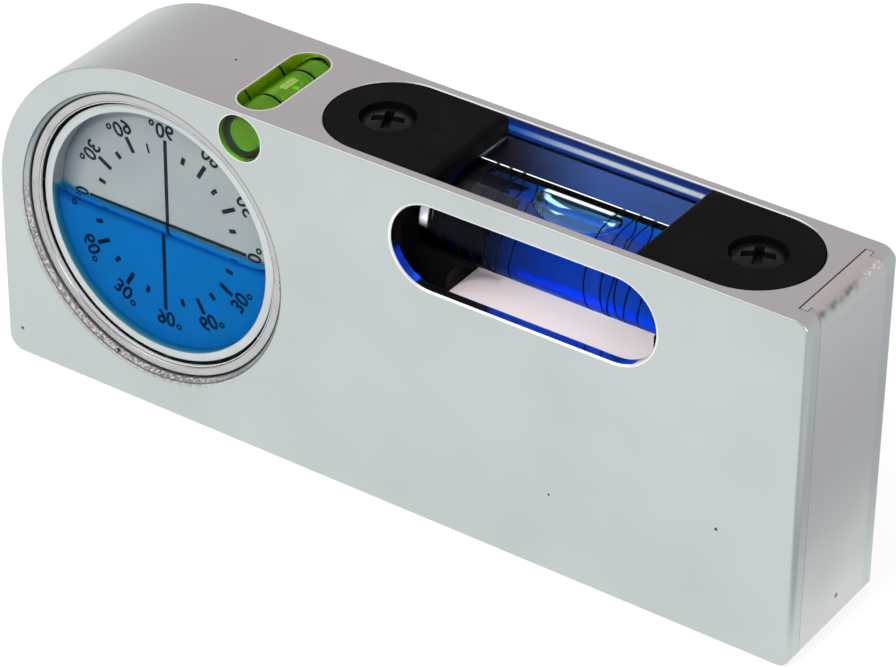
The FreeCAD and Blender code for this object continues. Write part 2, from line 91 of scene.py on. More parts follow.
class Recipe:
    """A new material and short ways to add nodes to it. Millimetres, unless it says metres."""

    def __init__(self, name: str) -> None:
        """Start an empty material.

        Args:
            name: The material's name.
        """
        self.material = bpy.data.materials.new(name)
        self.material.use_nodes = True
        self.tree = self.material.node_tree
        self.tree.nodes.clear()
        self.output = self.node("OutputMaterial")
        self.place = self.node("TexCoord").outputs["Object"]

    def feed(self, target: Socket, value: object) -> None:
        """Give an input a value, or link it when the value is an output.

        Args:
            target: The input.
            value: A number, a colour, a vector or an output; None leaves the input alone.
        """
        if isinstance(value, Socket):
            self.tree.links.new(value, target)
        elif isinstance(value, tuple) and target.type == "RGBA":
            target.default_value = (*value, 1.0)
        elif value is not None:
            target.default_value = value

    def node(
        self, kind: str, inputs: dict[str | int, object] | None = None, **values: object
    ) -> Node:
        """Add a node, set its properties and feed its inputs.

        Args:
            kind: The node's type without its common first part.
            inputs: What each input takes, by the input's name or number.
            **values: Properties of the node.

        Returns:
            The new node.
        """
        made = self.tree.nodes.new("ShaderNode" + kind)
        for key, value in values.items():
            setattr(made, key, value)
        for key, value in (inputs or {}).items():
            self.feed(made.inputs[key], value)
        return made

    def sum(self, operation: str, first: object, second: object = 0.0) -> Socket:
        """One named step of arithmetic."""
        return self.node("Math", {0: first, 1: second}, operation=operation).outputs[0]

    def times(self, *values: object) -> Socket:
        """The product of several values."""
        return reduce(partial(self.sum, "MULTIPLY"), values)

    def most(self, *values: object) -> Socket:
        """The largest of several values."""
        return reduce(partial(self.sum, "MAXIMUM"), values)

    def without(self, mask: object) -> Socket:
        """One where a mask is nought."""
        return self.sum("SUBTRACT", 1.0, mask)

    def vector(self, operation: str, first: Socket, second: object = None) -> Node:
        """One named step of vector arithmetic."""
        return self.node("VectorMath", {0: first, 1: second}, operation=operation)

    def axis(self, name: str) -> Socket:
        """The object's coordinate along X, Y or Z, in metres."""
        return self.node("SeparateXYZ", {0: self.place}).outputs[name]

    def from_axis(self, x: float, z: float) -> Socket:
        """Where a point lies from an axis along Y, with nought along Y."""
        moved = {"Location": (-x, 0.0, -z), "Scale": (1 / MM, 0.0, 1 / MM)}
        return self.node("Mapping", {"Vector": self.place, **moved}).outputs["Vector"]

    def axis_distance(self, x: float, z: float) -> Socket:
        """The distance from an axis along Y."""
        return self.vector("LENGTH", self.from_axis(x, z)).outputs["Value"]

    def noise(self, size: float, detail: float = 2.0) -> Socket:
        """A cloudy grain from 0 to 1, of the given width and number of finer layers."""
        grain = {"Scale": 1 / (size * MM), "Detail": detail}
        return self.node("TexNoise", {"Vector": self.place, **grain}).outputs["Fac"]

    def span(
        self, value: Socket, low: float, high: float, start: float = 0.0, end: float = 1.0
    ) -> Socket:
        """Stretch a value from low and high to start and end, clamped."""
        limits = {"From Min": low, "From Max": high, "To Min": start, "To Max": end}
        return self.node("MapRange", {"Value": value, **limits}).outputs["Result"]

    def along(self, name: str, low: float, high: float) -> Socket:
        """Rise from nought to one between two places along an axis."""
        return self.span(self.axis(name), low * MM, high * MM)

    def within(self, name: str, low: float, high: float, soft: float = 0.02) -> Socket:
        """One between two places along an axis and nought outside them, with soft ends."""
        above = self.along(name, low - soft, low + soft)
        return self.times(above, self.along(name, high + soft, high - soft))

    def inside(self, x: Pair, y: Pair | None, z: Pair) -> Socket:
        """One inside a box, which may have no limits along Y, and nought outside it."""
        limits = {"X": x, "Y": y, "Z": z}
        return self.times(*(self.within(name, *pair) for name, pair in limits.items() if pair))

    def blend(self, share: object, first: object, second: object) -> Socket:
        """Mix two colours by the share of the second."""
        return self.node("Mix", {0: share, 6: first, 7: second}, data_type="RGBA").outputs[2]

    def paint(self, base: object, *layers: tuple[object, object]) -> Socket:
        """Lay colours over a base, each given as its mask and its colour."""
        return reduce(lambda under, layer: self.blend(layer[0], under, layer[1]), layers, base)

    def bump(self, height: Socket, depth: float, under: Socket | None = None) -> Socket:
        """Raise the surface by a height map of the given depth, over another bump if any."""
        inputs = {"Height": height, "Distance": depth * MM, "Strength": 1.0, "Normal": under}
        return self.node("Bump", inputs).outputs["Normal"]

    def slot_distance(self, along: tuple[str, float, float], across: tuple[str, float]) -> Socket:
        """The distance from the middle line of a round-ended slot.

        Args:
            along: The slot's axis, its middle and half the length of its straight part.
            across: The axis across the slot and the slot's middle on it.

        Returns:
            The distance.
        """
        name, middle, half = along
        away = self.sum("ABSOLUTE", self.sum("SUBTRACT", self.axis(name), middle * MM))
        past = self.most(self.sum("SUBTRACT", away, half * MM), 0.0)
        side = self.sum("SUBTRACT", self.axis(across[0]), across[1] * MM)
        squares = self.sum("ADD", self.times(past, past), self.times(side, side))
        return self.times(self.sum("SQRT", squares), 1 / MM)

    def band(self, distance: Socket, edge: float, width: float) -> Socket:
        """One on a narrow band outside an opening's edge, by the distance from its middle."""
        inner = self.span(distance, edge - 0.06, edge)
        return self.times(inner, self.span(distance, edge + width + 0.05, edge + width))

    def spots(self, places: tuple[Spot, ...]) -> Socket:
        """Small single marks with ragged edges.

        Args:
            places: The middle and the radius of each mark.

        Returns:
            One in the middle of a mark and nought outside all of them.
        """
        ragged = self.span(self.noise(0.5, 3.0), 0.2, 0.8, 0.6, 1.5)
        marks = []
        for middle, radius in places:
            away = self.vector("DISTANCE", self.place, tuple(value * MM for value in middle))
            near = self.times(away.outputs["Value"], ragged)
            marks.append(self.span(near, radius * MM, radius * MM / 2))
        return self.most(*marks)

    def ray(self, *kinds: RayKind) -> Socket:
        """One for the named kinds of ray and nought for others."""
        path = self.node("LightPath")
        return self.most(*(path.outputs[kind.value] for kind in kinds))

    def mirrored(self) -> Socket:
        """One for rays that a clear or bright surface has thrown back before, else nought."""
        return self.sum("MINIMUM", self.node("LightPath").outputs["Glossy Depth"], 1.0)

    def surface(self, **values: object) -> Node:
        """A principled surface with named inputs, their spaces written as underscores."""
        inputs = {key.replace("_", " "): value for key, value in values.items()}
        return self.node("BsdfPrincipled", inputs)

    def opaque(self, **values: object) -> Material:
        """Finish the material with one principled surface."""
        return self.finish(self.surface(**values))

    def mix(self, share: object, first: Node, second: Node) -> Node:
        """Mix two shaders by the share of the second."""
        return self.node("MixShader", {0: share, 1: first.outputs[0], 2: second.outputs[0]})

    def clear(self, glossy: Node, tint: object, shine: object, lets: Triple) -> Node:
        """Tame the mirror image on a clear surface and let lamps shine straight through it.

        Args:
            glossy: The clear shader with its full mirror image.
            tint: The colour that each crossing of the surface leaves.
            shine: How much of the full mirror image is kept.
            lets: The colour of the lamps' light that passes.

        Returns:
            The mixed shader.
        """
        ior = glossy.inputs["IOR"].default_value
        bent = self.node("BsdfRefraction", {"Color": tint, "Roughness": 0.0, "IOR": ior})
        through = self.node("BsdfTransparent", {"Color": lets})
        lamps = self.ray(RayKind.SHADOW, RayKind.DIFFUSE)
        return self.mix(lamps, self.mix(shine, bent, glossy), through)

    def finish(self, shader: Node) -> Material:
        """Connect the last shader and hand the material over."""
        self.feed(self.output.inputs["Surface"], shader.outputs[0])
        return self.material


@dataclass(frozen=True)
class SatinCasting:
    """Blasted silver casting with a rough cast mouth, a bright cut edge and a few pits."""

    name: str = "satin_casting"
    colour: Triple = (0.54, 0.595, 0.595)
    clouded: Triple = (0.52, 0.57, 0.57)
    cloud_size: float = 14.0
    grain_size: float = 0.14
    grain_depth: float = 0.003
    roughness: Pair = (0.30, 0.36)
    mouth_bright: Triple = (0.88, 0.85, 0.84)
    mouth_shade: Triple = (0.30, 0.28, 0.28)
    mouth_cover: float = 0.75
    mouth_grain: float = 0.38
    mouth_depth: float = 0.45
    mouth_rougher: float = 0.15
    cut_colour: Triple = (0.55, 0.56, 0.62)
    cut_rougher: float = -0.19
    floor_colour: Triple = (0.70, 0.64, 0.65)
    floor_rougher: float = 0.3
    slot_reflection_colour: Triple = (1.0, 0.78, 0.14)
    slot_rougher: float = -0.2
    rim_highlight_colour: Triple = (0.92, 0.93, 0.90)
    line_colour: Triple = (0.16, 0.165, 0.17)
    pit_colour: Triple = screen(70, 70, 72)
    pits: tuple[Spot, ...] = (
        ((23.3, -9.25, 10.5), 0.22),
        ((45.0, -9.25, 15.0), 0.3),
        ((-26.6, 0.0, 45.5), 0.26),
        ((-38.2, -9.0, 5.8), 0.3),
        ((-40.6, -9.0, 6.8), 0.22),
        ((-52.9, -9.25, 3.4), 0.3),
    )

    def material(self, dial: "Inclinometer", pocket: "Pocket", bores: "CrossOpenings") -> Material:
        """Make the casting's material, rough round the dial and bright at the window's cut edge,
        with painted light in and round its openings.

        Args:
            dial: Gives the place of the rough mouth.
            pocket: Gives the places of the cut edge and of the pocket's wall and floor.
            bores: Gives the rims and the walls of the cross vial's openings.

        Returns:
            The material.
        """
        recipe = Recipe(self.name)
        clouds = recipe.noise(self.cloud_size)
        grit = recipe.noise(self.mouth_grain, 4.0)
        mouth = dial.mouth_mask(recipe)
        cut = pocket.edge_mask(recipe)
        floor = pocket.floor_mask(recipe)
        wall = pocket.wall_mask(recipe)
        slot = bores.wall_mask(recipe)
        speckle = recipe.blend(recipe.span(grit, 0.42, 0.58), self.mouth_shade, self.mouth_bright)
        base = recipe.paint(
            self.colour,
            (recipe.span(clouds, 0.35, 0.7), self.clouded),
            (recipe.times(mouth, self.mouth_cover), speckle),
            (cut, self.cut_colour),
            (floor, self.floor_colour),
            # painted light on the pocket's back wall
            (wall, pocket.wall_colour(recipe)),
            # painted reflection of the green vial on the walls inside its slot
            (slot, self.slot_reflection_colour),
            # painted highlights along the rims of the window and of the cross vial's openings
            (recipe.most(bores.rim_highlight_mask(recipe), pocket.rim_highlight_mask(recipe)), self.rim_highlight_colour),
            (dial.line_mask(recipe), self.line_colour),
            (recipe.spots(self.pits), self.pit_colour),
        )
        rough = recipe.span(clouds, 0.3, 0.7, *self.roughness)
        for mask, rougher in (
            (mouth, self.mouth_rougher),
            (cut, self.cut_rougher),
            (floor, self.floor_rougher),
            (slot, self.slot_rougher),
        ):
            rough = recipe.sum("ADD", rough, recipe.times(mask, rougher))
        blasted = recipe.bump(recipe.noise(self.grain_size), self.grain_depth)
        return recipe.opaque(
            Base_Color=base,
            Metallic=recipe.without(recipe.most(floor, wall)),
            Roughness=rough,
            Normal=recipe.bump(recipe.times(grit, mouth), self.mouth_depth, blasted),
        )


@dataclass(frozen=True)
class StripSteel:
    """The let-in strip: the casting's own finish with a lumpy top edge, painted shade in the lumps
    towards the front and painted glints on them towards the back.
    """

    name: str = "strip_steel"
    colour: Triple = (0.60, 0.63, 0.62)
    clouded: Triple = (0.58, 0.60, 0.60)
    edge_colour: Triple = (0.57, 0.595, 0.59)
    painted_dent_shade: Triple = (0.25, 0.24, 0.245)
    painted_glints: Triple = (0.95, 0.94, 0.92)
    cloud_size: float = 9.0
    grain_size: float = 0.14
    grain_depth: float = 0.003
    lump_size: float = 0.9
    lump_depth: float = 0.12
    speck_size: float = 0.35
    roughness: Pair = (0.29, 0.35)
    ridge_rougher: float = 0.1
    round_x: float = 53.0
    round_z: float = 43.5
    round_fade: float = 0.7
    ridge_half: Pair = (0.95, 0.15)
    painted_dent_shade_y: Pair = (3.5, 0.5)
    painted_glints_y: Pair = (2.0, 4.0)
    seam_colour: Triple = (0.10, 0.10, 0.10)
    seam_x: Pair = (52.05, 52.35)
    seam_z: Pair = (45.3, 45.6)
    pit_colour: Triple = screen(60, 60, 62)
    pit: Spot = ((55.0, 0.9, 4.0), 0.4)

    def material(self) -> Material:
        """Make the strip's material.

        Returns:
            The material.
        """
        recipe = Recipe(self.name)
        clouds = recipe.noise(self.cloud_size)
        lumps = recipe.noise(self.lump_size, 3.0)
        specks = recipe.noise(self.speck_size)
        over = recipe.along("X", self.round_x, self.round_x + self.round_fade)
        edge = recipe.times(over, recipe.along("Z", self.round_z, self.round_z + self.round_fade))
        slant = recipe.sum("SUBTRACT", recipe.axis("X"), recipe.axis("Z"))
        slant = recipe.sum("SUBTRACT", slant, (self.round_x - self.round_z) * MM)
        wide, narrow = self.ridge_half
        ridge = recipe.span(recipe.sum("ABSOLUTE", slant), wide * MM, narrow * MM)
        ridge = recipe.times(ridge, edge)
        near = recipe.times(ridge, recipe.along("Y", *self.painted_dent_shade_y))
        far = recipe.times(ridge, recipe.along("Y", *self.painted_glints_y))
        base = recipe.paint(
            self.colour,
            (recipe.span(clouds, 0.35, 0.7), self.clouded),
            (edge, self.edge_colour),
            # painted shade in the lumps towards the front and painted glints towards the back
            (recipe.times(recipe.span(lumps, 0.3, 0.62), near), self.painted_dent_shade),
            (recipe.times(recipe.span(specks, 0.5, 0.6), far), self.painted_glints),
            (recipe.inside(self.seam_x, None, self.seam_z), self.seam_colour),
            (recipe.spots((self.pit,)), self.pit_colour),
        )
        rough = recipe.span(clouds, 0.3, 0.7, *self.roughness)
        blasted = recipe.bump(recipe.noise(self.grain_size), self.grain_depth)
        return recipe.opaque(
            Base_Color=base,
            Metallic=1.0,
            Roughness=recipe.sum("ADD", rough, recipe.times(ridge, self.ridge_rougher)),
            Normal=recipe.bump(recipe.times(lumps, ridge), self.lump_depth, blasted),
        )


@dataclass(frozen=True)
class TurnedMetal:
    """Bright metal with fine turning lines round an axis along Y."""

    name: str = "turned_metal"
    colour: Triple = (0.50, 0.51, 0.51)
    stained: Triple = (0.44, 0.45, 0.45)
    stain_size: float = 2.4
    roughness: Pair = (0.20, 0.32)
    line_pitch: float = 0.11
    line_depth: float = 0.003
    line_wander: float = 0.2
    wander_size: float = 4.0

    def material(self, x: float, z: float) -> Material:
        """Make the material for a ring about the given axis.

        Args:
            x: The axis's place along X in millimetres.
            z: The axis's place along Z in millimetres.

        Returns:
            The material.
        """
        recipe = Recipe(self.name)
        wander = recipe.times(recipe.noise(self.wander_size), self.line_wander)
        turns = recipe.sum("ADD", recipe.axis_distance(x, z), wander)
        wave = recipe.sum("SINE", recipe.times(turns, math.tau / self.line_pitch))
        stain = recipe.noise(self.stain_size, 4.0)
        return recipe.opaque(
            Base_Color=recipe.blend(recipe.span(stain, 0.5, 0.8), self.colour, self.stained),
            Metallic=1.0,
            Roughness=recipe.span(stain, 0.35, 0.75, *self.roughness),
            Normal=recipe.bump(recipe.span(wave, -1.0, 1.0), self.line_depth),
        )


@dataclass(frozen=True)
class ClearAcrylic:
    """Clear acrylic that lets lamps shine through, with the faintest ripple."""

    name: str
    shine: float
    tint: Triple = (0.97, 0.985, 0.99)
    ior: float = 1.49
    ripple: float = 0.003
    ripple_size: float = 3.0
    handled_size: float = 1.6
    roughness: Pair = (0.0, 0.015)
    frost_and_highlight_colour: Triple = (0.47, 0.49, 0.49)

    def material(self, frost_and_highlight_mask: Callable[[Recipe], Socket] | None = None) -> Material:
        """Make the acrylic.

        Args:
            frost_and_highlight_mask: Gives the mask of its frosted part, which on the long vial is
                a painted highlight; left out for a clear piece.

        Returns:
            The material.
        """
        recipe = Recipe(self.name)
        handled = recipe.noise(self.handled_size, 3.0)
        base: object = self.tint
        clear: object = 1.0
        shine: object = self.shine
        if frost_and_highlight_mask is not None:
            # where frosted, the acrylic turns pale and fully shiny: frosting on the dial's window,
            # a painted highlight on the long vial
            clear = recipe.without(frost_and_highlight_mask(recipe))
            base = recipe.blend(clear, self.frost_and_highlight_colour, self.tint)
            shine = recipe.span(clear, 0.0, 1.0, 1.0, self.shine)
        glass = recipe.surface(
            Base_Color=base,
            Roughness=recipe.span(handled, 0.6, 0.85, *self.roughness),
            IOR=self.ior,
            Transmission_Weight=clear,
            Normal=recipe.bump(recipe.noise(self.ripple_size, 1.0), self.ripple),
        )
        return recipe.finish(recipe.clear(glass, self.tint, shine, self.tint))


@dataclass(frozen=True)
class MilkyAcrylic:
    """The dial's pale cup: whitish on its rim and greyer down its wall, which is painted shade."""

    name: str = "milky_acrylic"
    rim: Triple = (0.40, 0.43, 0.43)
    wall: Triple = (0.16, 0.18, 0.19)
    clouded: Triple = (0.34, 0.37, 0.37)
    cloud_size: float = 5.0
    cloud_depth: float = 0.01
    roughness: Pair = (0.28, 0.36)

    def material(self, dial: "Inclinometer") -> Material:
        """Make the cup's material.

        Args:
            dial: Gives the cup's place and its inner radius.

        Returns:
            The material.
        """
        recipe = Recipe(self.name)
        radius = recipe.axis_distance(dial.x, dial.z)
        clouds = recipe.noise(self.cloud_size, 3.0)
        # the wall's darker colour is painted shade inside the chamber
        base = recipe.paint(
            self.wall,
            (recipe.span(radius, dial.chamber_radius + 0.02, dial.chamber_radius + 0.12), self.rim),
            (recipe.span(clouds, 0.4, 0.8, 0.0, 0.1), self.clouded),
        )
        rough = recipe.span(clouds, 0.3, 0.7, *self.roughness)
        normal = recipe.bump(clouds, self.cloud_depth)
        return recipe.opaque(Base_Color=base, Roughness=rough, Normal=normal)


@dataclass(frozen=True)
class Spirit:
    """A clear coloured liquid that the eye sees deeper in colour where it is thicker."""

    name: str
    colour: Triple
    density: float
    body: Triple
    shine: float
    clear: float = 1.0
    swirled: Triple = (0.5, 0.6, 0.7)
    swirl_size: float = 5.0
    swirl_share: float = 0.04
    ior: float = 1.36

    def material(self, vial: "Vial | None" = None) -> Material:
        """Make the liquid, whose colour doesn't fall on what lies round it.

        Args:
            vial: Gives the places of its bubble and of the painted highlight streak on it; left out
                for a liquid without a bubble.

        Returns:
            The material.
        """
        recipe = Recipe(self.name)
        shine: object = self.shine
        clear: object = self.clear
        swirl = recipe.noise(self.swirl_size, 1.0)
        swirled = recipe.span(swirl, 0.3, 0.7, 0.0, self.swirl_share)
        tint = recipe.blend(swirled, self.body, self.swirled)
        if vial is not None:
            bubble = vial.bubble_mask(recipe)
            # the streak is a painted highlight: pale, not clear and fully shiny
            streak = vial.highlight_streak_mask(recipe)
            shine = recipe.span(recipe.most(bubble, streak), 0.0, 1.0, self.shine, 1.0)
            clear = recipe.span(bubble, 0.0, 1.0, self.clear, 1.0)
            clear = recipe.times(clear, recipe.without(streak))
            tint = recipe.blend(streak, tint, vial.highlight_streak_colour)
        liquid = recipe.surface(
            Base_Color=tint,
            Roughness=recipe.span(swirl, 0.4, 0.8, 0.0, 0.01),
            IOR=self.ior,
            Transmission_Weight=clear,
        )
        seen = recipe.without(recipe.ray(RayKind.SHADOW, RayKind.DIFFUSE))
        density = recipe.times(seen, self.density)
        depth = recipe.node("VolumeAbsorption", {"Color": self.colour, "Density": density})
        recipe.feed(recipe.output.inputs["Volume"], depth.outputs[0])
        return recipe.finish(recipe.clear(liquid, tint, shine, WHITE))


@dataclass(frozen=True)
class ScaleCard:
    """The pale disc behind the liquid, with a slight paper grain."""

    name: str = "scale_card"
    colour: Triple = (0.225, 0.25, 0.25)
    shade: Triple = (0.205, 0.23, 0.235)
    painted_light_below_level: Triple = (0.27, 0.25, 0.285)
    # colour of the painted shadow under the liquid's edge
    edge: Triple = (0.11, 0.10, 0.14)
    wall_shade: Triple = (0.075, 0.10, 0.125)
    cloud_size: float = 6.0
    grain_size: float = 0.18
    grain_depth: float = 0.004
    roughness: Pair = (0.6, 0.7)
    specular: float = 0.1
    wall_reach: float = 3.2
    wall_left: Pair = (4.0, 12.0)

    def material(self, dial: "Inclinometer") -> Material:
        """Make the disc's material, painted paler below the liquid's level than above it, with
        painted shade by the wall and a painted shadow under the liquid's edge.

        Args:
            dial: Gives the height of the liquid.

        Returns:
            The material.
        """
        recipe = Recipe(self.name)
        grain = recipe.noise(self.grain_size)
        level = dial.level_z
        radius = recipe.axis_distance(dial.x, dial.z)
        near_wall = recipe.span(radius, dial.chamber_radius - self.wall_reach, dial.chamber_radius)
        left = recipe.along("X", *(dial.x - place for place in self.wall_left))
        above = recipe.along("Z", level + 0.5, level)
        base = recipe.paint(
            self.colour,
            (recipe.span(recipe.noise(self.cloud_size, 3.0), 0.35, 0.65), self.shade),
            (recipe.times(near_wall, left), self.wall_shade),
            # painted light: the disc is paler below the liquid's level
            (recipe.along("Z", level + 0.2, level - 0.8), self.painted_light_below_level),
            # painted shadow of the liquid's curved edge: a dark band just under its level
            (recipe.times(recipe.along("Z", level - 1.5, level - 0.5), above), self.edge),
        )
        return recipe.opaque(
            Base_Color=base,
            Roughness=recipe.span(grain, 0.3, 0.7, *self.roughness),
            Specular_IOR_Level=self.specular,
            Normal=recipe.bump(grain, self.grain_depth),
        )


@dataclass(frozen=True)
class PlainFinish:
    """A plain finish that is worn or thin in places and may carry a fine grain.

    The wear is given by its size and detail, worn_from and rough_from say over which part of
    it the colour and the roughness change, and the grain is given by its size and depth.
    """

    name: str
    colour: Triple
    worn: Triple
    wear: Pair = (0.35, 3.0)
    worn_from: Pair = (0.5, 0.8)
    roughness: Pair = (0.6, 0.75)
    rough_from: Pair = (0.3, 0.7)
    specular: float = 0.05
    metal: float = 0.0
    grain: Pair | None = None

    def material(self) -> Material:
        """Make the finish's material.

        Returns:
            The material.
        """
        recipe = Recipe(self.name)
        wear = recipe.noise(*self.wear)
        normal = None
        if self.grain is not None:
            size, depth = self.grain
            normal = recipe.bump(recipe.noise(size, 3.0), depth)
        return recipe.opaque(
            Base_Color=recipe.blend(recipe.span(wear, *self.worn_from), self.colour, self.worn),
            Metallic=self.metal,
            Roughness=recipe.span(wear, *self.rough_from, *self.roughness),
            Specular_IOR_Level=self.specular,
            Normal=normal,
        )


SCALE_INK = PlainFinish("scale_ink", screen(18, 24, 30), screen(30, 38, 46))
RING_INK = PlainFinish("ring_ink", screen(2, 4, 12), screen(6, 10, 24))
BLACK_PLASTIC = PlainFinish(
    "black_plastic", screen(7, 7, 8), screen(11, 11, 12), wear=(5.0, 4.0),
    roughness=(0.55, 0.45), rough_from=(0.3, 0.75), specular=0.03, grain=(0.16, 0.006),
)
BLACK_STEEL = PlainFinish(
    "black_steel", screen(12, 12, 14), screen(44, 45, 48), wear=(0.9, 4.0),
    worn_from=(0.62, 0.85), roughness=(0.42, 0.3), specular=0.12, grain=(0.25, 0.008),
)
NICKEL_PLATE = PlainFinish(
    "nickel_plate", (0.66, 0.64, 0.60), (0.52, 0.50, 0.47), wear=(1.2, 5.0),
    worn_from=(0.4, 0.75), roughness=(0.16, 0.34), specular=0.5, metal=1.0, grain=(0.3, 0.004),
)


def dress(material: Material, *nodes: str) -> None:
    """Give CAD nodes a material.

    Args:
        material: The material.
        *nodes: The nodes' names.
    """
    for node in nodes:
        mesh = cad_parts[node].data
        mesh.materials.clear()
        mesh.materials.append(material)
        LOG.info("dressed %s with %s", node, material.name)


def set_out(name: str, data: bpy.types.ID) -> bpy.types.Object:
    """Put new data into the scene as an object.

    Args:
        name: The object's name.
        data: Its mesh, curve, lamp or camera.

    Returns:
        The new object.
    """
    made = bpy.data.objects.new(name, data)
    bpy.context.scene.collection.objects.link(made)
    return made


def add_piece(
    name: str, shape: Shape, material: Material, replaced: tuple[str, ...] = ()
) -> None:
    """Turn a finished shape in millimetres into a piece of the level.

    Args:
        name: The piece's name.
        shape: The shape, which is used up.
        material: Its material.
        replaced: CAD nodes that it stands for.
    """
    bmesh.ops.scale(shape, vec=Vector((MM, MM, MM)), verts=shape.verts)
    for face in shape.faces:
        face.smooth = True
    mesh = bpy.data.meshes.new(name)
    shape.to_mesh(mesh)
    shape.free()
    mesh.set_sharp_from_angle(angle=math.radians(32))
    mesh.materials.append(material)
    piece = set_out(name, mesh)
    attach(piece, BODY)
    if replaced:
        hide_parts(*replaced)
    LOG.info("built %s, %d faces", name, len(mesh.polygons))


def spun(shape: Shape, points: list[Pair], axis: Vector, origin: Vector, steps: int) -> None:
    """Spin an open profile about an axis into a closed skin.

    Args:
        shape: Takes the new skin.
        points: Distance along the axis and radius of each profile point.
        axis: The direction of the axis.
        origin: Where distances along the axis are counted from.
        steps: How many steps make the full turn.
    """
    radial = Vector((0.0, 0.0, 1.0))
    verts = [shape.verts.new(origin + axis * along + radial * radius) for along, radius in points]
    edges = [shape.edges.new(pair) for pair in zip(verts, verts[1:])]
    bmesh.ops.spin(
        shape,
        geom=verts + edges,
        cent=origin,
        axis=axis,
        angle=math.tau,
        steps=steps,
        use_merge=True,
        use_duplicate=False,
    )
    bmesh.ops.remove_doubles(shape, verts=shape.verts, dist=1e-5)


@dataclass
class Bubble:
    """The air in a vial: a long drop flattened by the roof of the bore. Millimetres."""

    middle: float
    half_length: float
    half_width: float
    half_height: float
    sink: float
    film: float = 0.05

    def carve(self, shape: Shape, axis: Vector, origin: Vector, roof_radius: float) -> None:
        """Hollow the bubble out of a liquid.

        Args:
            shape: The liquid.
            axis: The direction of the bore.
            origin: A point on the bore's axis, where distances along it are counted from.
            roof_radius: The bore's radius at the bubble.
        """
        made = bmesh.ops.create_uvsphere(shape, u_segments=96, v_segments=64, radius=1.0)
        size = Matrix.Diagonal((self.half_width, self.half_height, self.half_length, 1.0))
        up = Vector((0.0, 0.0, 1.0))
        turn = Matrix((up.cross(axis), up, axis)).transposed().to_4x4()
        radius = roof_radius - self.film
        middle = Matrix.Translation(origin + axis * self.middle + up * (radius - self.sink))
        bmesh.ops.transform(shape, matrix=middle @ turn @ size, verts=made["verts"])
        for vert in made["verts"]:
            along = origin + axis * (vert.co - origin).dot(axis)
            out = vert.co - along
            if out.length > radius:
                vert.co = along + out.normalized() * radius
        faces = list({face for vert in made["verts"] for face in vert.link_faces})
        bmesh.ops.recalc_face_normals(shape, faces=faces)
        bmesh.ops.reverse_faces(shape, faces=faces)


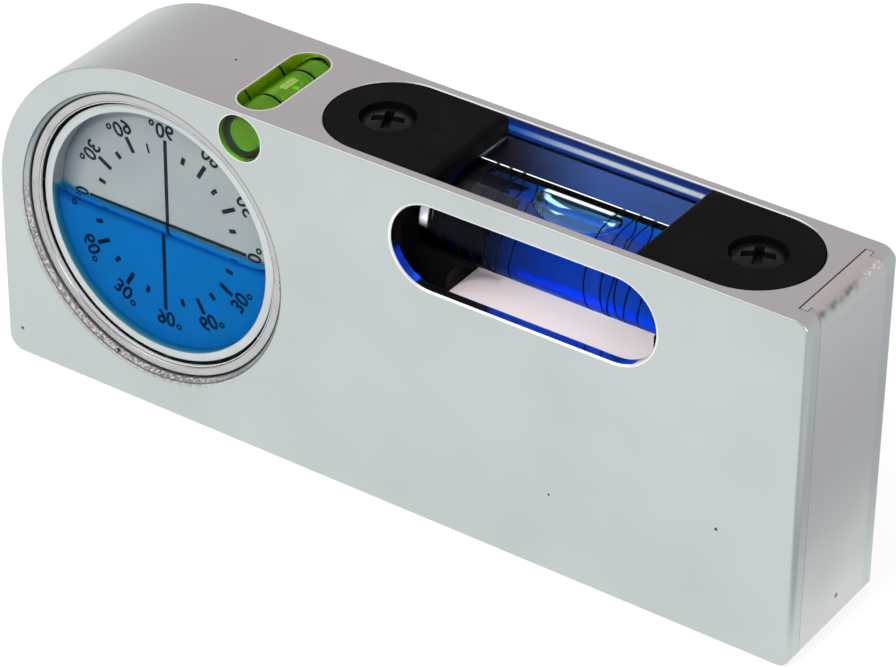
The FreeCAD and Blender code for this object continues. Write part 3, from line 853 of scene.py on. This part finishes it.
@dataclass
class Vial:
    """A barrel vial: its liquid, bubble, ring marks, and the painted highlights on its seam, its
    end and its bubble. Millimetres.
    """

    name: str
    axis: Vector
    origin: Vector
    start: float
    end: float
    end_radius: float
    middle_radius: float
    end_round: float
    outer_radius: float
    bubble: Bubble
    ring_places: tuple[float, ...]
    ring_width: float
    slot: str
    streak_along: Pair
    streak_across: Pair
    highlight_streak_colour: Triple = (0.80, 0.82, 0.82)
    streak_soft: Pair = (0.15, 0.1)
    seam_x: Pair = (5.8, 31.0)
    seam_y: Pair = (2.15, 2.5)
    seam_z: Pair = (41.9, 42.25)
    seam_gap: float = 0.22
    gleam_x: Pair = (2.8, 4.0)
    gleam_y: Pair = (-5.7, -3.0)
    gleam_z: Pair = (36.8, 38.0)
    gleam_soft: float = 0.15
    overlap: float = 0.02
    ring_height: float = 0.04
    steps: int = 128

    def dress(self, barrel: Material, plug: Material) -> None:
        """Give the vial and its plug their finishes."""
        dress(barrel, self.name)
        dress(plug, f"{self.name}_plug")

    def bubble_mask(self, recipe: Recipe) -> Socket:
        """One on the bubble's surface and nought on the liquid's outer skin.

        Args:
            recipe: The material being made.

        Returns:
            The mask.
        """
        offset = recipe.vector("SUBTRACT", recipe.place, self.origin * MM)
        flat = recipe.vector("CROSS_PRODUCT", offset.outputs[0], self.axis)
        radius = recipe.vector("LENGTH", flat.outputs[0]).outputs["Value"]
        edge = self._radius_at(self.bubble.middle)
        inside = recipe.span(radius, (edge - 0.01) * MM, (edge - 0.04) * MM)
        reach = self.bubble.half_length + 0.2
        low, high = self.bubble.middle - reach, self.bubble.middle + reach
        return recipe.times(inside, recipe.within("X" if self.axis.x else "Y", low, high))

    def highlight_streak_mask(self, recipe: Recipe) -> Socket:
        """One on the painted highlight streak over the bubble.

        Args:
            recipe: The material being made.

        Returns:
            The mask.
        """
        along, across = ("X", "Y") if self.axis.x else ("Y", "X")
        roof = self.origin.z + self.middle_radius / 2
        return recipe.times(
            recipe.within(along, *self.streak_along, self.streak_soft[0]),
            recipe.within(across, *self.streak_across, self.streak_soft[1]),
            recipe.within("Z", roof, roof + self.outer_radius),
        )

    def seam_highlight_mask(self, recipe: Recipe) -> Socket:
        """One on the painted highlight along the seam of barrel and plate, broken at the ring
        marks, and on the painted glint at the end.

        Args:
            recipe: The material being made.

        Returns:
            The mask.
        """
        gaps = [
            recipe.without(recipe.within("X", place - self.seam_gap, place + self.seam_gap))
            for place in self.ring_places
        ]
        seam = recipe.times(recipe.inside(self.seam_x, self.seam_y, self.seam_z), *gaps)
        # a painted glint on the vial's rounded end
        gleam = recipe.times(
            recipe.within("X", *self.gleam_x, self.gleam_soft),
            recipe.within("Y", *self.gleam_y),
            recipe.along("Z", *self.gleam_z),
        )
        return recipe.most(seam, gleam)

    def _radius_at(self, along: float) -> float:
        """The bore's radius at a place along the vial.

        Args:
            along: The place.

        Returns:
            The radius.
        """
        half = (self.end - self.start) / 2
        share = (along - self.start - half) / half
        return self.middle_radius - (self.middle_radius - self.end_radius) * share * share

    def build_liquid(self, spirit: Spirit) -> None:
        """Model the liquid with its bubble as a hollow under the vial's roof.

        Args:
            spirit: The liquid's finish.
        """
        shape = bmesh.new()
        points = [(self.start - self.overlap, 0.0)]
        for step in range(9):
            turn = math.radians(90 * step / 8)
            along = self.start + self.end_round * (1 - math.sin(turn)) - self.overlap
            radius = self.end_radius - self.end_round * (1 - math.cos(turn)) + self.overlap
            points.insert(1, (along, radius))
        length = self.end - self.start - self.end_round
        for step in range(1, 33):
            along = self.start + self.end_round + length * step / 32
            points.append((along, self._radius_at(along) + self.overlap))
        points.append((self.end + self.overlap, 0.0))
        spun(shape, points, self.axis, self.origin, self.steps)
        bmesh.ops.recalc_face_normals(shape, faces=shape.faces)
        roof = self._radius_at(self.bubble.middle)
        self.bubble.carve(shape, self.axis, self.origin, roof)
        finish = spirit.material(self)
        add_piece(f"{self.name}_spirit", shape, finish, (f"{self.name}_liquid",))

    def build_rings(self, ink: Material) -> None:
        """Print the ring marks round the barrel.

        Args:
            ink: The ink's finish.
        """
        shape = bmesh.new()
        low = self.outer_radius - self.ring_height / 2
        high = self.outer_radius + self.ring_height / 2
        for place in self.ring_places:
            front = place - self.ring_width / 2
            back = place + self.ring_width / 2
            points = [(front, low), (back, low), (back, high), (front, high), (front, low)]
            spun(shape, points, self.axis, self.origin, self.steps)
        bmesh.ops.recalc_face_normals(shape, faces=shape.faces)
        add_piece(f"{self.name}_rings", shape, ink)


@dataclass
class Pocket:
    """The pocket behind the front window: its edge, its wall and its floor. Millimetres."""

    window_x: Pair = (1.3, 36.5)
    window_z: Pair = (31.3, 42.6)
    front_y: Pair = (-9.1, -7.96)
    rim_width: float = 0.26
    pocket_x: Pair = (-12.8, 50.6)
    back_y: float = 7.96
    floor_z: Pair = (28.9, 29.4)
    lit_z: Pair = (36.6, 45.25)
    lit_x: Pair = (7.0, 18.0)
    lower_light: tuple[Triple, Triple] = ((0.002, 0.002, 0.008), (0.018, 0.055, 0.20))
    upper_z: Pair = (42.6, 42.9)
    upper_light: Triple = (0.0, 0.018, 0.16)
    band_z: Pair = (43.65, 44.3)
    band_soft: float = 0.14
    band_light: tuple[Triple, Triple] = ((0.015, 0.08, 0.28), (0.36, 0.42, 0.42))
    top_z: Pair = (44.9, 45.3)
    top_soft: float = 0.1
    top_light: Triple = (0.006, 0.01, 0.05)
    mirrored_light: Triple = (0.55, 0.62, 0.62)

    def edge_mask(self, recipe: Recipe) -> Socket:
        """One on the cut edge of the viewing window."""
        return recipe.inside(self.window_x, self.front_y, self.window_z)

    def floor_mask(self, recipe: Recipe) -> Socket:
        """One on the pocket's floor and the foot of its walls."""
        reach = self.back_y + 0.1
        return recipe.inside(self.pocket_x, (-reach, reach), self.floor_z)

    def wall_mask(self, recipe: Recipe) -> Socket:
        """One on the upper part of the pocket's back wall."""
        return recipe.inside(self.pocket_x, (self.back_y - 0.4, self.back_y + 0.1), self.lit_z)

    def rim_highlight_mask(self, recipe: Recipe) -> Socket:
        """One on the painted highlight along the rim of the viewing window.

        Args:
            recipe: The material being made.

        Returns:
            The mask.
        """
        (left, right), (low, high) = self.window_x, self.window_z
        half = (high - low) / 2
        straight = (right - left) / 2 - half
        away = recipe.slot_distance(("X", (left + right) / 2, straight), ("Z", (low + high) / 2))
        front = recipe.within("Y", self.front_y[0] - 0.3, self.front_y[0] + 0.1)
        return recipe.times(recipe.band(away, half - 0.2, self.rim_width), front)

    def wall_colour(self, recipe: Recipe) -> Socket:
        """The light painted on the back wall: blue, with a pale band through it, darker at the top,
        and pale where a clear surface has thrown the ray back.

        Args:
            recipe: The material being made.

        Returns:
            The colour.
        """
        right = recipe.along("X", *self.lit_x)
        band = recipe.within("Z", *self.band_z, self.band_soft)
        return recipe.paint(
            recipe.blend(right, *self.lower_light),
            (recipe.along("Z", *self.upper_z), self.upper_light),
            (band, recipe.blend(right, *self.band_light)),
            (recipe.within("Z", *self.top_z, self.top_soft), self.top_light),
            (recipe.mirrored(), self.mirrored_light),
        )


@dataclass
class CrossOpenings:
    """The slot and the round hole that show the cross vial. Millimetres."""

    x: float = -19.25
    z: float = 42.15
    hole_radius: float = 2.85
    slot_half_width: float = 2.65
    slot_middle_y: float = -0.65
    slot_half_length: float = 7.2
    rim_width: float = 0.17
    wall_z: Pair = (39.15, 45.3)
    top_z: float = 45.5
    front_y: float = -9.25

    def rim_highlight_mask(self, recipe: Recipe) -> Socket:
        """One on the painted highlights along the rims of both openings.

        Args:
            recipe: The material being made.

        Returns:
            The mask.
        """
        hole = recipe.band(recipe.axis_distance(self.x, self.z), self.hole_radius, self.rim_width)
        front = recipe.within("Y", self.front_y - 0.1, self.front_y + 0.2)
        slot = recipe.band(self._slot_distance(recipe), self.slot_half_width, self.rim_width)
        top = recipe.within("Z", self.top_z - 0.2, self.top_z + 0.1)
        return recipe.most(recipe.times(hole, front), recipe.times(slot, top))

    def wall_mask(self, recipe: Recipe) -> Socket:
        """One on the walls inside the slot, where the green vial's reflection is painted into the
        metal's colour.

        Args:
            recipe: The material being made.

        Returns:
            The mask.
        """
        away = self._slot_distance(recipe)
        inside = recipe.span(away, self.slot_half_width + 0.2, self.slot_half_width + 0.12)
        return recipe.times(inside, recipe.within("Z", *self.wall_z))

    def _slot_distance(self, recipe: Recipe) -> Socket:
        """The distance from the slot's middle line."""
        straight = self.slot_half_length - self.slot_half_width
        return recipe.slot_distance(("Y", self.slot_middle_y, straight), ("X", self.x))


@dataclass
class Inclinometer:
    """The round dial: its liquid, its scale and the ring that holds it. Millimetres."""

    x: float = -32.7
    z: float = 23.6
    mouth_radius: float = 18.9
    mouth_y: Pair = (-9.4, -8.0)
    mouth_fade: Pair = (0.7, -0.1)
    ring_radius: float = 18.4
    window_radius: float = 17.2
    rough_towards: float = 243.0
    rough_from: Pair = (6.0, 13.0)
    chamber_radius: float = 15.65
    chamber_front_y: float = -7.26
    scale_y: float = -5.36
    level_z: float = 23.75
    tilt: float = 1.1
    wall_rise: float = 0.3
    wall_width: float = 0.35
    end_rise: float = 0.75
    end_width: float = 1.3
    overlap: float = 0.02
    print_x: float = -32.67
    print_z: float = 23.95
    print_height: float = 0.02
    cross_reach: float = 11.5
    line_width: float = 0.5
    fine_line: Pair = (0.1, 0.04)
    tick_width: float = 0.55
    tick_inner: float = 9.4
    long_tick: float = 2.1
    short_tick: float = 1.0
    lone_tick: float = 105.0
    lone_digit_height: float = 1.2
    label_radius: float = 12.55
    label_turn: float = 2.4
    digit_height: float = 1.95
    digit_share: float = 0.72
    digit_thicker: float = 0.055
    far_labels: tuple[int, ...] = (4, 5)
    far_label_radius: float = 13.2
    labels: tuple[str, ...] = (
        "0°", "30°", "60°", "90°", "60°", "30°",
        "0°", "30°", "60°", "90°", "30°", "60°",
    )

    def dress(self, clear: Material) -> None:
        """Give the dial's CAD nodes their finishes.

        Args:
            clear: The window's finish.
        """
        dress(clear, "dial_window")
        dress(MilkyAcrylic().material(self), "dial_cup")
        dress(TurnedMetal().material(self.x, self.z), "bezel_ring")
        dress(ScaleCard().material(self), "dial_scale")

    def side_mask(self, recipe: Recipe) -> Socket:
        """One on the sawn side of the dial's window."""
        radius = recipe.axis_distance(self.x, self.z)
        return recipe.span(radius, self.window_radius - 0.12, self.window_radius - 0.06)

    def mouth_mask(self, recipe: Recipe) -> Socket:
        """One on the rough lower left of the dial's sloping mouth.

        Args:
            recipe: The material being made.

        Returns:
            The mask.
        """
        radius = recipe.axis_distance(self.x, self.z)
        inside = recipe.span(radius, *(self.mouth_radius + fade for fade in self.mouth_fade))
        outside = recipe.span(radius, self.ring_radius - 0.1, self.ring_radius)
        aim = math.radians(self.rough_towards)
        towards = (math.cos(aim), 0.0, math.sin(aim))
        side = recipe.vector("DOT_PRODUCT", recipe.from_axis(self.x, self.z), towards)
        lower_left = recipe.span(side.outputs["Value"], *self.rough_from)
        return recipe.times(inside, outside, lower_left, recipe.within("Y", *self.mouth_y))

    def line_mask(self, recipe: Recipe) -> Socket:
        """One on the two fine dark lines that bound the sloping mouth.

        Args:
            recipe: The material being made.

        Returns:
            The mask.
        """
        radius = recipe.axis_distance(self.x, self.z)
        lines = []
        for line in (self.mouth_radius + 0.02, self.ring_radius + 0.06):
            away = recipe.sum("ABSOLUTE", recipe.sum("SUBTRACT", radius, line))
            lines.append(recipe.span(away, *self.fine_line))
        return recipe.times(recipe.most(*lines), recipe.within("Y", *self.mouth_y))

    def build_liquid(self, spirit: Spirit) -> None:
        """Model the half-filled chamber's liquid with the curved edge of its surface.

        Args:
            spirit: The liquid's finish.
        """
        shape = bmesh.new()
        front = self.chamber_front_y - self.overlap
        depth = self.scale_y + self.overlap - front
        radius = self.chamber_radius + self.overlap
        turn = Matrix.Rotation(math.radians(90), 4, "X")
        place = Matrix.Translation((self.x, front + depth / 2, self.z))
        bmesh.ops.create_cone(
            shape,
            cap_ends=True,
            cap_tris=False,
            segments=256,
            radius1=radius,
            radius2=radius,
            depth=depth,
            matrix=place @ turn,
        )
        lean = math.radians(self.tilt)
        middle = Vector((self.x, 0.0, self.level_z))
        up = Vector((math.sin(lean), 0.0, math.cos(lean)))
        cut = self._cut(shape, middle, up, clear_outer=True)
        rim = [edge for edge in cut["geom_cut"] if isinstance(edge, bmesh.types.BMEdge)]
        bmesh.ops.holes_fill(shape, edges=rim, sides=0)
        self._divide(shape, front, depth, radius)
        for vert in shape.verts:
            if abs((vert.co - middle).dot(up)) < self.overlap / 4:
                vert.co.z += self._lift(vert.co, front, depth, radius)
        bmesh.ops.recalc_face_normals(shape, faces=shape.faces)
        add_piece("dial_liquid_fill", shape, spirit.material(), ("dial_liquid",))

    def _cut(self, shape: Shape, point: Vector, normal: Vector, **values: bool) -> dict:
        """Cut a whole shape along a plane and say what was cut."""
        geometry = shape.verts[:] + shape.edges[:] + shape.faces[:]
        return bmesh.ops.bisect_plane(
            shape, geom=geometry, plane_co=point, plane_no=normal, **values
        )

    def _divide(self, shape: Shape, front: float, depth: float, radius: float) -> None:
        """Cut the liquid into strips fine enough for its top to curve.

        Args:
            shape: The liquid.
            front: Its front face along Y.
            depth: Its depth along Y.
            radius: Its radius.
        """
        shares = (0.04, 0.09, 0.15, 0.22, 0.3, 0.4, 0.6, 0.7, 0.78, 0.85, 0.91, 0.96)
        insets = (0.1, 0.25, 0.45, 0.7, 1.0, 1.4, 1.9, 2.5, 3.2, 4.2, 5.5)
        for share in shares:
            self._cut(shape, Vector((0, front + depth * share, 0)), Vector((0, 1, 0)))
        for side in (-1, 1):
            for inset in insets:
                place = Vector((self.x + side * (radius - inset), 0, 0))
                self._cut(shape, place, Vector((1, 0, 0)))

    def _lift(self, place: Vector, front: float, depth: float, radius: float) -> float:
        """How far the liquid's surface is drawn up where it wets the walls.

        Args:
            place: A point of the surface.
            front: The liquid's front face along Y.
            depth: The liquid's depth along Y.
            radius: The liquid's radius.

        Returns:
            The rise at that point.
        """
        near = max(min(place.y - front, front + depth - place.y), 0.0)
        side = max(radius - abs(place.x - self.x), 0.0)
        wall = self.wall_rise * math.exp(-near / self.wall_width)
        return wall + self.end_rise * math.exp(-side / self.end_width)

    def build_scale(self, ink: Material) -> None:
        """Print the cross, the ticks and the figures on the disc.

        Args:
            ink: The ink's finish.
        """
        lines = bmesh.new()
        for angle in (0.0, 90.0):
            self._bar(lines, angle, -self.cross_reach, self.cross_reach, self.line_width)
        for step in range(24):
            angle = 15.0 * step
            if angle % 90 == 0 or angle == self.lone_tick:
                continue
            reach = self.long_tick if angle % 30 == 0 else self.short_tick
            self._bar(lines, angle, self.tick_inner, self.tick_inner + reach, self.tick_width)
        add_piece("scale_lines", lines, ink)
        figures = bmesh.new()
        lone_radius = self.tick_inner + 0.4
        self._figure(figures, "1", self.lone_tick, lone_radius, self.lone_digit_height)
        for step, label in enumerate(self.labels):
            angle = 180.0 + self.label_turn - 30.0 * step
            radius = self.far_label_radius if step in self.far_labels else self.label_radius
            self._figure(figures, label, angle, radius, self.digit_height)
        add_piece("scale_figures", figures, ink)

    def _print_place(self) -> Matrix:
        """The middle of the print, just in front of the disc."""
        middle_y = self.scale_y - self.print_height / 2
        return Matrix.Translation((self.print_x, middle_y, self.print_z))

    def _bar(self, shape: Shape, angle: float, start: float, end: float, width: float) -> None:
        """Print one straight bar that points away from the dial's middle.

        Args:
            shape: Takes the bar.
            angle: Its direction in degrees, from +X towards +Z.
            start: Where it starts, from the middle.
            end: Where it ends, from the middle.
            width: Its width.
        """
        made = bmesh.ops.create_cube(shape, size=1.0)
        size = Matrix.Diagonal((end - start, self.print_height, width, 1.0))
        along = Matrix.Translation(((start + end) / 2, 0.0, 0.0))
        turn = Matrix.Rotation(math.radians(-angle), 4, "Y")
        matrix = self._print_place() @ turn @ along @ size
        bmesh.ops.transform(shape, matrix=matrix, verts=made["verts"])

    def _figure(self, shape: Shape, label: str, angle: float, radius: float, height: float) -> None:
        """Print one mirrored figure with its top outwards.

        Args:
            shape: Takes the figure.
            label: The figure.
            angle: Its place round the dial in degrees, from +X towards +Z.
            radius: Its distance from the dial's middle.
            height: The height of its digits.
        """
        curve = bpy.data.curves.new("figure", "FONT")
        curve.body = label
        curve.align_x = "CENTER"
        curve.align_y = "CENTER"
        curve.extrude = self.print_height / 2
        curve.offset = self.digit_thicker
        curve.size = height / self.digit_share
        holder = set_out("figure", curve)
        bpy.context.view_layer.update()
        evaluated = holder.evaluated_get(bpy.context.evaluated_depsgraph_get())
        mesh = bpy.data.meshes.new_from_object(evaluated)
        bpy.data.objects.remove(holder)
        stand = Matrix.Rotation(math.radians(90), 4, "X")
        mirror = Matrix.Diagonal((-1.0, 1.0, 1.0, 1.0))
        turn = Matrix.Rotation(math.radians(90 - angle), 4, "Y")
        out = Matrix.Translation((0.0, 0.0, radius))
        mesh.transform(self._print_place() @ turn @ out @ mirror @ stand)
        before = len(shape.faces)
        shape.from_mesh(mesh)
        shape.faces.ensure_lookup_table()
        bmesh.ops.recalc_face_normals(shape, faces=shape.faces[before:])
        bpy.data.meshes.remove(mesh)


@dataclass
class Lamp:
    """One soft square lamp. Places and sizes in metres, power in watts."""

    name: str
    place: Triple
    size: float
    power: float
    colour: Triple
    mirrored: bool = True
    aim: Triple = (0.0, 0.0, 0.02)

    def hang(self) -> None:
        """Put the lamp into the scene, facing its aim."""
        data = bpy.data.lights.new(self.name, "AREA")
        data.size = self.size
        data.energy = self.power
        data.color = self.colour
        lamp = set_out(self.name, data)
        lamp.location = self.place
        facing = Vector(self.aim) - Vector(self.place)
        lamp.rotation_euler = facing.to_track_quat("-Z", "Y").to_euler()
        lamp.visible_glossy = self.mirrored


@dataclass
class Studio:
    """The pale floor, the soft lamps and the camera.

    Places are in metres, or in millimetres where a name ends in mm. The camera's turn is in
    degrees and its lens in millimetres.
    """

    lamps: tuple[Lamp, ...]
    camera_place: Triple = (0.229055, -0.333300, 0.290791)
    camera_turn: Triple = (56.01077, -0.55471, 34.50109)
    camera_near: float = 0.01
    lens_mm: float = 170.3054
    sensor_mm: float = 36.0
    floor_half: float = 6.0
    floor_drop: float = 0.00005
    floor_colour: Triple = (0.90, 0.90, 0.90)
    floor_clouded: Triple = (0.89, 0.89, 0.89)
    floor_glow: float = 0.82
    world_low: Triple = (0.80, 0.82, 0.82)
    world_high: Triple = (0.74, 0.625, 0.63)
    end_mm: Pair = (57.0, 65.0)
    end_glow: Triple = (0.60, 0.62, 0.64)
    middle_mm: Pair = (68.0, 82.0)
    middle_soft_mm: float = 5.0
    middle_glow: Triple = (0.27, 0.26, 0.29)

    def build(self) -> None:
        """Make the camera, the floor, the lamps and the surrounding light."""
        self._camera()
        self._floor()
        self._world()
        for lamp in self.lamps:
            lamp.hang()
        bpy.context.scene.view_settings.view_transform = "Standard"

    def _camera(self) -> None:
        """Set up the camera at the photograph's view."""
        data = bpy.data.cameras.new("camera")
        data.lens = self.lens_mm
        data.sensor_width = self.sensor_mm
        data.clip_start = self.camera_near
        camera = set_out("camera", data)
        camera.location = self.camera_place
        camera.rotation_euler = Euler([math.radians(turn) for turn in self.camera_turn])
        bpy.context.scene.camera = camera

    def _floor(self) -> None:
        """Lay the white floor, which keeps the level's shadow; in mirror images it is dim beyond
        the level's end, a painted reflection in the end face.
        """
        shape = bmesh.new()
        bmesh.ops.create_grid(shape, x_segments=1, y_segments=1, size=self.floor_half)
        mesh = bpy.data.meshes.new("floor")
        shape.to_mesh(mesh)
        shape.free()
        recipe = Recipe("studio_floor")
        tone = recipe.blend(recipe.noise(60.0), self.floor_colour, self.floor_clouded)
        matt = recipe.node("BsdfDiffuse", {"Color": tone})
        # painted reflection: mirrored rays see the floor dimmer beyond the level's end, darkest in
        # a middle band
        middle = recipe.within("X", *self.middle_mm, self.middle_soft_mm)
        dim = recipe.blend(middle, self.end_glow, self.middle_glow)
        mirrored = recipe.times(recipe.along("X", *self.end_mm), recipe.ray(RayKind.GLOSSY))
        glow = recipe.node("Emission", {"Color": recipe.blend(mirrored, WHITE, dim)})
        seen = recipe.ray(RayKind.CAMERA, RayKind.GLOSSY, RayKind.TRANSMISSION)
        shader = recipe.mix(recipe.times(seen, self.floor_glow), matt, glow)
        mesh.materials.append(recipe.finish(shader))
        floor = set_out("floor", mesh)
        floor.location.z = -self.floor_drop

    def _world(self) -> None:
        """Surround the level with soft light, dimmer overhead than at the horizon."""
        world = bpy.data.worlds.new("studio")
        bpy.context.scene.world = world
        world.use_nodes = True
        tree = world.node_tree
        tree.nodes.clear()
        kinds = ("TexCoord", "SeparateXYZ", "ValToRGB", "Background", "OutputWorld")
        place, split, ramp, light, output = (tree.nodes.new("ShaderNode" + kind) for kind in kinds)
        low, high = ramp.color_ramp.elements
        low.color = (*self.world_low, 1.0)
        high.color = (*self.world_high, 1.0)
        high.position = 0.5
        tree.links.new(place.outputs["Generated"], split.inputs[0])
        tree.links.new(split.outputs["Z"], ramp.inputs[0])
        tree.links.new(ramp.outputs[0], light.inputs["Color"])
        tree.links.new(light.outputs[0], output.inputs["Surface"])


def dress_casting(dial: Inclinometer) -> None:
    """Dress the body, the strip, the holders, the screws and the magnets.

    Args:
        dial: Gives the place of the rough cast mouth.
    """
    dress(SatinCasting().material(dial, Pocket(), CrossOpenings()), "body")
    dress(StripSteel().material(), "end_strip")
    dress(BLACK_PLASTIC.material(), "left_vial_holder", "right_vial_holder")
    dress(BLACK_STEEL.material(), "left_holder_screw", "right_holder_screw")
    base_magnets = (f"base_magnet_{number}" for number in range(1, 5))
    dress(NICKEL_PLATE.material(), "end_magnet_lower", "end_magnet_upper", *base_magnets)


def build_vials() -> None:
    """Build the long blue vial and the small green one."""
    ink = RING_INK.material()
    long_vial = Vial(
        name="main_vial",
        axis=Vector((1, 0, 0)),
        origin=Vector((0, 0, 37.1)),
        start=3.6,
        end=34.0,
        end_radius=4.4,
        middle_radius=4.6,
        end_round=1.6,
        outer_radius=5.6,
        bubble=Bubble(20.2, 5.6, 2.9, 2.3, 0.55),
        ring_places=(8.05, 9.75, 11.6, 24.7, 26.85, 28.7),
        ring_width=0.2,
        slot="blue_liquid",
        streak_along=(15.1, 24.0),
        streak_across=(0.95, 1.65),
    )
    # its pale frosted colour paints the highlight on the seam and the glint on the end
    highlighted_acrylic = ClearAcrylic("vial_acrylic", 0.1, frost_and_highlight_colour=(0.85, 0.92, 1.0))
    plain = ClearAcrylic("plug_acrylic", 0.1)
    long_vial.dress(highlighted_acrylic.material(long_vial.seam_highlight_mask), plain.material())
    blue = Spirit("vial_spirit", (0.0, 0.915, 0.996), 3000.0, (0.72, 0.90, 1.0), 0.05)
    long_vial.build_liquid(blue)
    long_vial.build_rings(ink)
    cross_vial = Vial(
        name="cross_vial",
        axis=Vector((0, 1, 0)),
        origin=Vector((-19.25, 0, 42.15)),
        start=-7.75,
        end=6.45,
        end_radius=2.05,
        middle_radius=2.15,
        end_round=0.3,
        outer_radius=2.8,
        bubble=Bubble(-0.6, 2.5, 1.5, 1.2, 0.3),
        ring_places=(-3.4, 3.2),
        ring_width=0.32,
        slot="green_liquid",
        streak_along=(-0.8, 1.6),
        streak_across=(-19.7, -19.0),
        highlight_streak_colour=(0.22, 0.26, 0.19),
    )
    tinted = ClearAcrylic("cross_acrylic", 0.45, (0.88, 0.97, 0.55)).material()
    cross_vial.dress(tinted, tinted)
    green = Spirit("green_spirit", (0.80, 0.94, 0.0), 1500.0, (0.36, 0.88, 0.0), 0.2, 0.25)
    cross_vial.build_liquid(green)
    cross_vial.build_rings(ink)


def main() -> None:
    """Build the level piece by piece, then the studio."""
    logging.basicConfig(level=logging.INFO, format="%(name)s: %(message)s")
    dial = Inclinometer()
    dress_casting(dial)
    dial.dress(ClearAcrylic("window_acrylic", 0.05).material(dial.side_mask))
    dial.build_liquid(Spirit("dial_spirit", (0.0, 0.855, 0.993), 3000.0, (0.72, 0.90, 1.0), 0.05))
    dial.build_scale(SCALE_INK.material())
    build_vials()
    to_pocket = (0.019, -0.003, 0.029)
    lamps = (
        Lamp("key", (-0.55, -0.60, 0.95), 1.1, 8.0, (0.96, 1.0, 1.0), False),
        Lamp("sheen", (-0.60, -0.65, 0.90), 0.9, 3.0, (0.98, 1.0, 1.0)),
        Lamp("fill", (0.85, -0.35, 0.55), 0.5, 3.0, (1.0, 0.99, 0.98)),
        Lamp("back", (0.1, 0.9, 0.8), 0.6, 3.0, (1.0, 0.97, 0.96), False),
        Lamp("pocket", (0.02, -0.35, 0.33), 0.06, 1.4, (1.0, 0.97, 0.97), False, to_pocket),
    )
    Studio(lamps).build()


if __name__ == "__main__":
    main()
